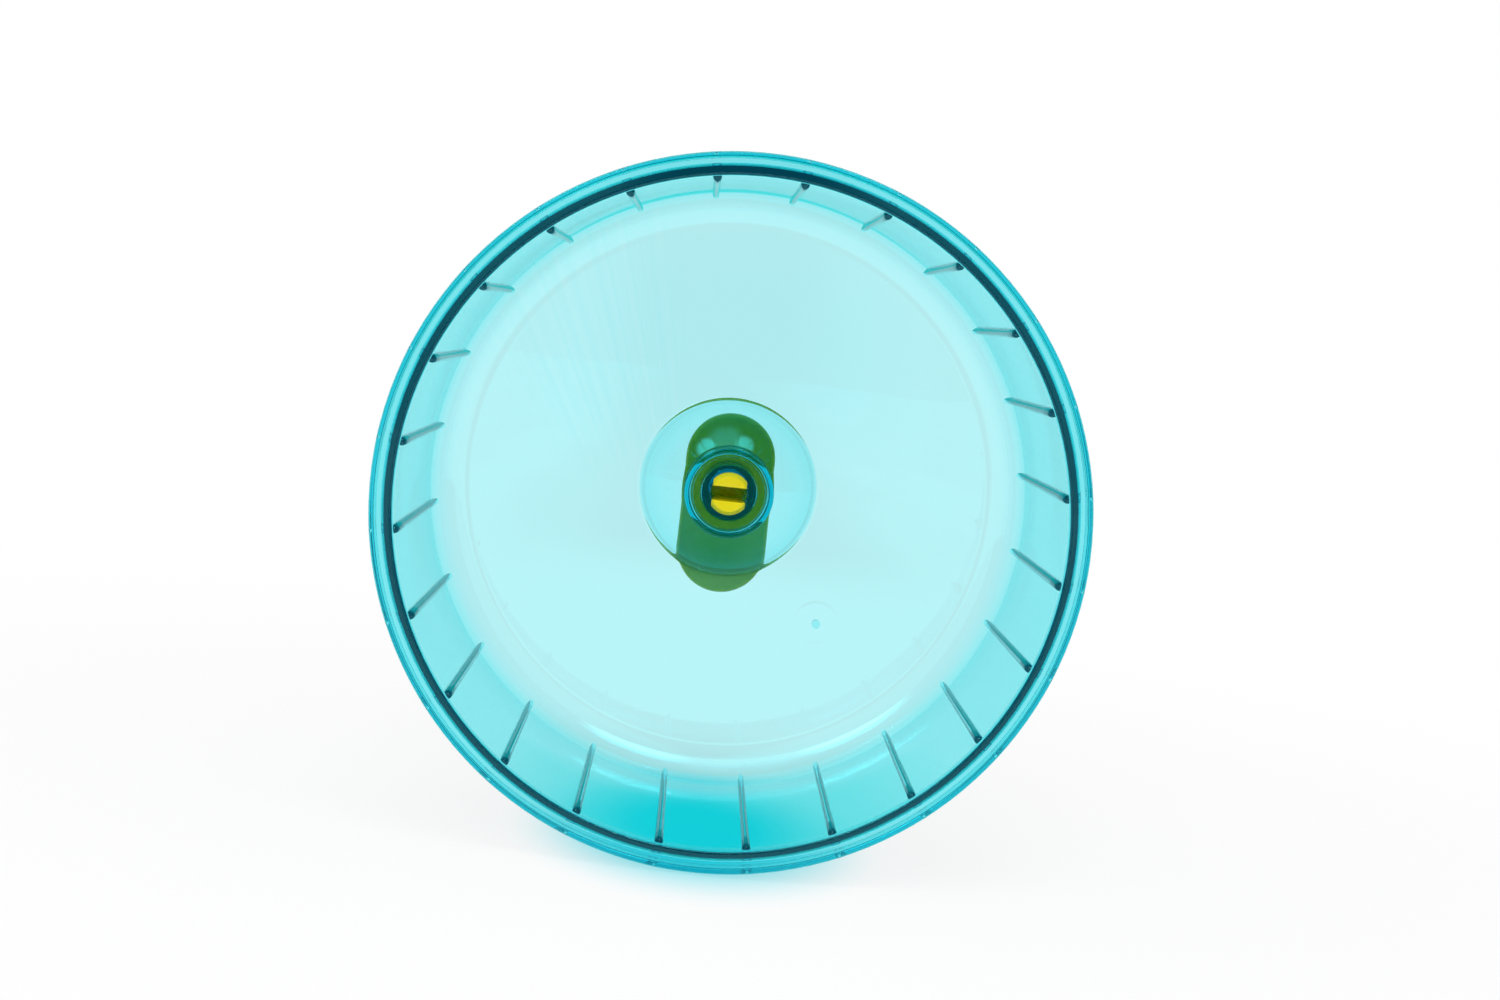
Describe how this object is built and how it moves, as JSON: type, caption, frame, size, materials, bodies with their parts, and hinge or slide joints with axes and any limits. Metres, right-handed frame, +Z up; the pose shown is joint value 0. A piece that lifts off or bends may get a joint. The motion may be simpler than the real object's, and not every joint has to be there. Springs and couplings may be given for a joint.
{
  "type": "hamster exercise wheel",
  "caption": "See-through running dish for a hamster, open at the front, with rungs, a broad grooved rim and a domed hub, that spins on the split snap axle of a bracket clipped to cage bars.",
  "frame": {"origin": "on the axle's axis, in the rear face of the bracket, which bears on the cage bars", "axes": "+Y along the axle from the dish's open front to the cage bars, +Z up along the bracket, +X to the right seen from the open front"},
  "size_m": [0.14, 0.0845, 0.14],
  "materials": {
    "cyan_plastic": "polished, see-through cyan",
    "yellow_plastic": "semi-gloss, opaque yellow"
  },
  "bodies": {
    "bracket": {"axle_bracket": "yellow_plastic"},
    "wheel": {"running_dish": "cyan_plastic"}
  },
  "joints": [
    {"name": "wheel_spin", "type": "hinge", "parent": "bracket", "child": "wheel", "pos_m": [0, -0.0203, 0], "axis": [0, 1, 0], "continuous": true}
  ]
}
